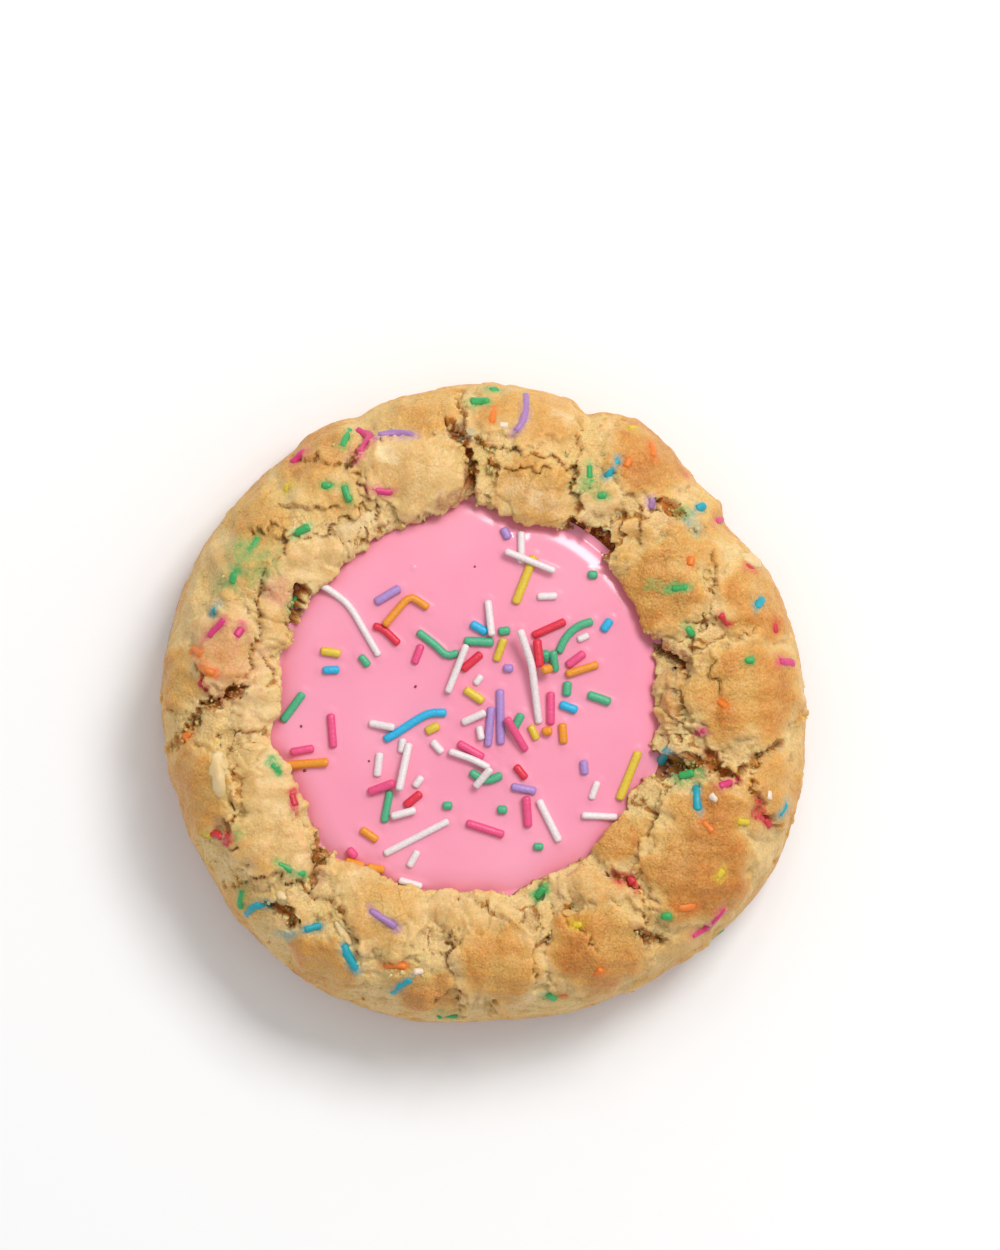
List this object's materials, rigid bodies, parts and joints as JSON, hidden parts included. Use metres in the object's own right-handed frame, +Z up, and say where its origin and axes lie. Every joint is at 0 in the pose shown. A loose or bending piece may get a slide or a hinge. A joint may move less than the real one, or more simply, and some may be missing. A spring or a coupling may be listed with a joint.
{
  "type": "iced cookie",
  "caption": "Thick round cookie with a browned, cragged crust, a pool of pink icing in its middle, and sugar strands on the icing and baked into the crust.",
  "frame": {"origin": "middle of the flat underside, below the middle of the cookie's outline", "axes": "+Z up through the cookie's thickness; +Y towards the top of the picture and +X towards its right, as the cookie is seen from above"},
  "size_m": [0.0952, 0.094, 0.0259],
  "materials": {
    "baked_dough": "dry, crumbly, browned on the raised plates",
    "pink_icing": "smooth, set sugar icing with a soft gloss"
  },
  "bodies": {
    "root": {"cookie": "baked_dough", "icing": "pink_icing"}
  },
  "joints": []
}
